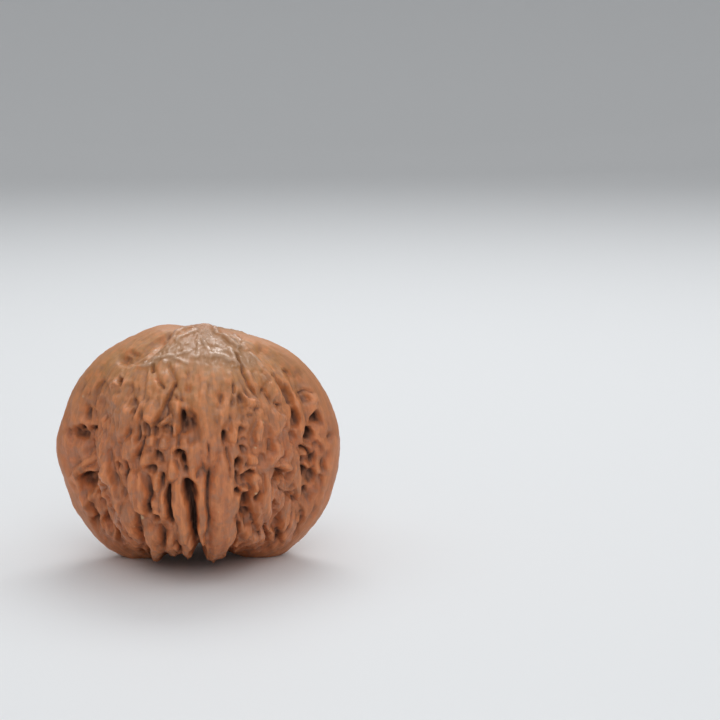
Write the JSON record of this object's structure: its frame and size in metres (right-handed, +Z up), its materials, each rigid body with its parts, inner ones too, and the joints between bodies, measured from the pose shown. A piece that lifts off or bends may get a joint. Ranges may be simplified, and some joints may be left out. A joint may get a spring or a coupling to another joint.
{
  "type": "walnut",
  "caption": "Whole walnut in its shell, standing on its seam with the tip up: deeply pitted and ribbed cheeks, a broad raised seam and a folded cap below the tip.",
  "frame": {"origin": "under the middle of the nut's box, on the surface it stands on", "axes": "+X across the seam, which lies in the X-Z plane; -Y is the cheek that the picture shows; +Z up to the tip"},
  "size_m": [0.0456, 0.0415, 0.0382],
  "materials": {
    "walnut_shell": "satin, slightly oiled nutshell"
  },
  "bodies": {
    "root": {"walnut": "walnut_shell"}
  },
  "joints": []
}
